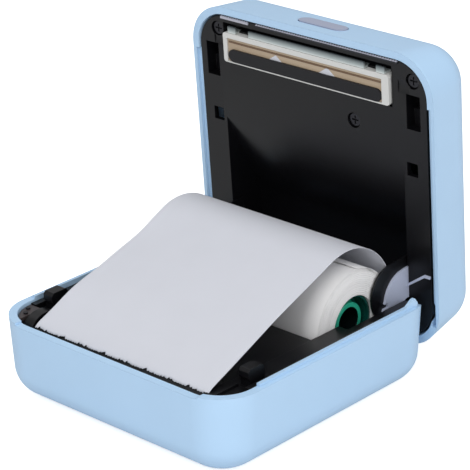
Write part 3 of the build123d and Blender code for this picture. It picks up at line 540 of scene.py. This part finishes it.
# %% Loose paper
paper_width = 57.0
paper_thickness = 0.1
crest = Vector((16.8, 21.4))
crest_radius = 17.9
platen = Vector((-31.0, 16.8))
platen_reach = 5.5
crest_end = radians(-6)
torn_angle = radians(137)
line_angle = atan2(crest.y - platen.y, crest.x - platen.x)
ramp_slope = line_angle + asin((crest_radius - platen_reach) / (crest - platen).length)
ramp_normal = ramp_slope + pi / 2
ramp_length = (crest - platen).length * cos(ramp_slope - line_angle)
crest_length = crest_radius * (ramp_normal - crest_end)
front_length = platen_reach * (torn_angle - ramp_normal)
paper_length = crest_length + ramp_length + front_length
cap_inner_x = 28.6
cap_clear_z = 21.05


def on_circle(centre, radius, angle):
    return centre + Vector((cos(angle), sin(angle))) * radius


def paper_path(distance):
    """Y and Z on the paper, by the distance from its rear end."""
    if distance < crest_length:
        return on_circle(crest, crest_radius, crest_end + distance / crest_radius)
    distance -= crest_length
    if distance < ramp_length:
        along = Vector((-cos(ramp_slope), -sin(ramp_slope)))
        return on_circle(crest, crest_radius, ramp_normal) + along * distance
    return on_circle(platen, platen_reach, ramp_normal + (distance - ramp_length) / platen_reach)


saw_pitch = 0.8


def torn_bite(x):
    """How much paper is missing at the torn edge: small teeth, and a few larger rips."""
    tooth = abs((x / saw_pitch) % 1.0 - 0.5) * 0.5
    rips = 0.22 * sin(x * 0.9) + 0.16 * sin(x * 2.3 + 1.0) + 0.12 * sin(x * 5.1 + 2.0)
    return tooth + max(0.0, rips) * 1.3


askew = 1.0
askew_start = crest_length * 0.6


def loose_paper_place(row, column):
    """A vertex of the sheet: the path, then its bowed left edge, a slow ripple and the flared front."""
    across = (column - 0.5) * paper_width
    reach = paper_length - torn_bite(across) * row ** 6
    distance = reach * row
    spot = paper_path(distance)
    front = min(1.0, max(0.0, (distance - askew_start) / (paper_length - askew_start)))
    leftness = max(0.0, 0.5 - column) * 2
    bow = leftness * (1.0 * exp(-((spot.x + 22) / 7) ** 2) - 0.8 * exp(-((spot.x - 1) / 7) ** 2))
    ripple = 0.12 * sin(across * 0.11 + spot.x * 0.16) * front * (1 - front) * 4
    flare = max(0.0, row - 0.7) / 0.3
    left = 1 - column
    x = across + 0.2 + askew * front + flare * (0.5 * column - 0.6 * left)
    height = spot.y + bow + ripple
    if x > cap_inner_x and spot.x < platen.x + 5:
        height = max(height, cap_clear_z)
    return Vector((x, spot.x - 0.9 * flare * left, height))


loose_grid = sheet_grid(150, 285, loose_paper_place)
loose_paper = finish_piece("loose_paper", loose_grid, shaded_web_paper, "base", "paper_web")
thicken(loose_paper, paper_thickness)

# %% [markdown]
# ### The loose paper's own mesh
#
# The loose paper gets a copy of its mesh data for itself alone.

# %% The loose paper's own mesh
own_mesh(loose_paper)

# %% [markdown]
# ### The wound roll
#
# A roll that has been handled is tight inside and loose outside. The tight part is one profile,
# spun round the axis, whose end face has a fine step for every few layers. The loose outer turns
# are one long sheet wound as a spiral, which stands off a little at the top.

# %% Roll
core_radius = 7.35
tight_radius = 13.6
roll_half = paper_width / 2


def spun(profile, steps=128):
    """A closed profile of (x, radius) points, spun round the roll's axis."""
    mesh = bmesh.new()
    start = [mesh.verts.new((x, roll_centre.x, roll_centre.y + radius)) for x, radius in profile]
    edges = [mesh.edges.new(pair) for pair in zip(start, start[1:] + start[:1])]
    bmesh.ops.spin(mesh, geom=start + edges, cent=(0, *roll_centre), axis=(1, 0, 0), angle=2 * pi,
                   steps=steps, use_merge=True, use_duplicate=False)
    return mesh


def layer_steps(side):
    """End-face points from the core outwards: each band of layers stands in or out a little."""
    points = []
    count = 34
    for index in range(count + 1):
        radius = core_radius + (tight_radius - core_radius) * index / count
        inset = 0.12 + 0.05 * sin(index * 2.4) + 0.04 * sin(index * 5.9)
        if index == count:
            inset += 0.25
        points.append((side * (roll_half - inset), radius))
    return points


tight_profile = layer_steps(1) + layer_steps(-1)[::-1]
tight_roll = finish_piece("tight_roll", spun(tight_profile), roll_paper, "roll", "paper_roll")
crisp_edges(tight_roll, 25)

turns = 2.4
wrap_start = radians(-60)
stand_off_angle = radians(95)


def wrap_place(row, column):
    """A vertex of the spiral, which grows outwards and lifts off most at the stand-off angle."""
    angle = wrap_start + turns * 2 * pi * row
    stand_off = 0.5 * exp(-((angle % (2 * pi) - stand_off_angle) / 0.7) ** 2)
    radius = tight_radius + 0.1 + 0.4 * row + stand_off * row ** 2
    side = (column - 0.5) * 2
    spot = on_circle(roll_centre, radius, angle)
    return Vector((side * (roll_half - 0.15 + 0.15 * row), spot.x, spot.y))


loose_turns = finish_piece("loose_turns", sheet_grid(330, 10, wrap_place), roll_paper, "roll")
thicken(loose_turns, paper_thickness)

# %% [markdown]
# ### The core
#
# The green core is a thin tube with a web across it, a little way in, and a narrower hub that
# stands out from the web. The hub's ring is painted lighter as painted light, the rest a deeper green as
# painted shade, and the bore nearly black as painted shadow.

# %% Core
core_half = [(27.6, 7.3), (27.6, 6.7), (24.0, 6.6), (24.0, 5.1), (26.6, 5.0), (26.8, 4.8), (26.8, 3.9),
             (26.6, 3.7)]
core_profile = core_half + [(-x, radius) for x, radius in reversed(core_half)]
core = finish_piece("core_tube", spun(core_profile, 96), green_core, "roll", "roll_core")
crisp_edges(core, 35)

# %% [markdown]
# ### Small things on the head
#
# Two small white corners show on the ceramic plate, at the edge of the black cap. They are thin
# prisms. The lid is modelled shut and turned back, so `on_open_lid` does the same to a mesh.

# %% Corners on the ceramic
hinge_line = Vector((0, 31.5, 13.9))
lid_angle = radians(-86.5)


def on_open_lid(mesh):
    """The mesh, made where the shut lid has it, turned back about the hinge."""
    turn = Matrix.Rotation(lid_angle, 4, "X")
    about_hinge = Matrix.Translation(hinge_line) @ turn @ Matrix.Translation(-hinge_line)
    bmesh.ops.transform(mesh, matrix=about_hinge, verts=mesh.verts)
    return mesh


def white_corner(mesh, x, half, height, cap_edge=-29.1, face=22.3, thick=0.08):
    """A thin triangle that starts under the cap's edge and points away from it."""
    outline = [(x - half, cap_edge + 0.3), (x + half, cap_edge + 0.3), (x + half * 0.1, cap_edge - height)]
    verts = [mesh.verts.new((px, py, face - thick)) for px, py in outline]
    made = bmesh.ops.extrude_face_region(mesh, geom=[mesh.faces.new(verts)])
    moved = [item for item in made["geom"] if isinstance(item, bmesh.types.BMVert)]
    bmesh.ops.translate(mesh, vec=(0, 0, thick), verts=moved)


corners = bmesh.new()
white_corner(corners, -11.0, 2.5, 1.5)
white_corner(corners, 6.2, 3.0, 1.9)
finish_piece("ceramic_corners", on_open_lid(corners), shaded_web_paper, "print_head", smooth=False)

# %% [markdown]
# ## Floor and light
#
# The photograph has a pure white ground and very even light, strongest from the camera's side.
# Three large soft lamps do that. The floor is nearly white and keeps a faint shadow. For the
# camera alone, floor and sky are lifted to white, so that the light they give stays dim.

# %% Floor and background
def floor_finish():
    material = bpy.data.materials.new("studio_floor")
    material.use_nodes = True
    tree = material.node_tree
    tree.nodes.clear()
    path = tree.nodes.new("ShaderNodeLightPath")
    seen = Wire(tree, path.outputs["Is Camera Ray"])
    plain = make_node(tree, "ShaderNodeBsdfDiffuse", Color=(0.8, 0.8, 0.8, 1))
    white = make_node(tree, "ShaderNodeBsdfDiffuse", Color=(0.95, 0.95, 0.95, 1))
    glow = make_node(tree, "ShaderNodeEmission", Color=(1, 1, 1, 1), Strength=0.62)
    lifted = make_node(tree, "ShaderNodeAddShader", in0=white, in1=glow)
    mixed = make_node(tree, "ShaderNodeMixShader", in0=seen, in1=plain, in2=lifted)
    output = tree.nodes.new("ShaderNodeOutputMaterial")
    tree.links.new(mixed.socket, output.inputs[0])
    return material


floor_mesh = bmesh.new()
bmesh.ops.create_grid(floor_mesh, x_segments=1, y_segments=1, size=3.0)
floor_data = bpy.data.meshes.new("studio_floor")
floor_mesh.to_mesh(floor_data)
floor_mesh.free()
floor_data.materials.append(floor_finish())
floor = bpy.data.objects.new("studio_floor", floor_data)
bpy.context.scene.collection.objects.link(floor)

world = bpy.data.worlds.new("studio_world")
world.use_nodes = True
bpy.context.scene.world = world
tree = world.node_tree
tree.nodes.clear()
path = tree.nodes.new("ShaderNodeLightPath")
seen = Wire(tree, path.outputs["Is Camera Ray"])
dim = make_node(tree, "ShaderNodeBackground", Color=(0.97, 0.98, 1.0, 1), Strength=0.42)
white = make_node(tree, "ShaderNodeBackground", Color=(1, 1, 1, 1), Strength=1.0)
mixed = make_node(tree, "ShaderNodeMixShader", in0=seen, in1=dim, in2=white)
tree.links.new(mixed.socket, tree.nodes.new("ShaderNodeOutputWorld").inputs[0])
print("floor and world ready")

# %% Lamps
lamp_target = Vector((0, 10, 30)) * MM


def soft_lamp(name, direction, distance, side, power):
    """A square area lamp that looks at the middle of the printer."""
    data = bpy.data.lights.new(name, "AREA")
    data.shape = "SQUARE"
    data.size = side
    data.energy = power
    lamp = bpy.data.objects.new(name, data)
    towards = Vector(direction).normalized()
    lamp.location = lamp_target + towards * distance
    lamp.rotation_euler = towards.to_track_quat("Z", "Y").to_euler()
    bpy.context.scene.collection.objects.link(lamp)


soft_lamp("front_lamp", (0.35, -1.0, 0.75), 0.9, 0.7, 3.2)
soft_lamp("right_lamp", (1.0, -0.15, 0.5), 0.9, 0.7, 3.0)
soft_lamp("top_lamp", (-0.3, 0.1, 1.0), 0.9, 0.8, 2.2)
print("lamps ready")

# %% Colour view
view = bpy.context.scene.view_settings
view.view_transform = "Standard"
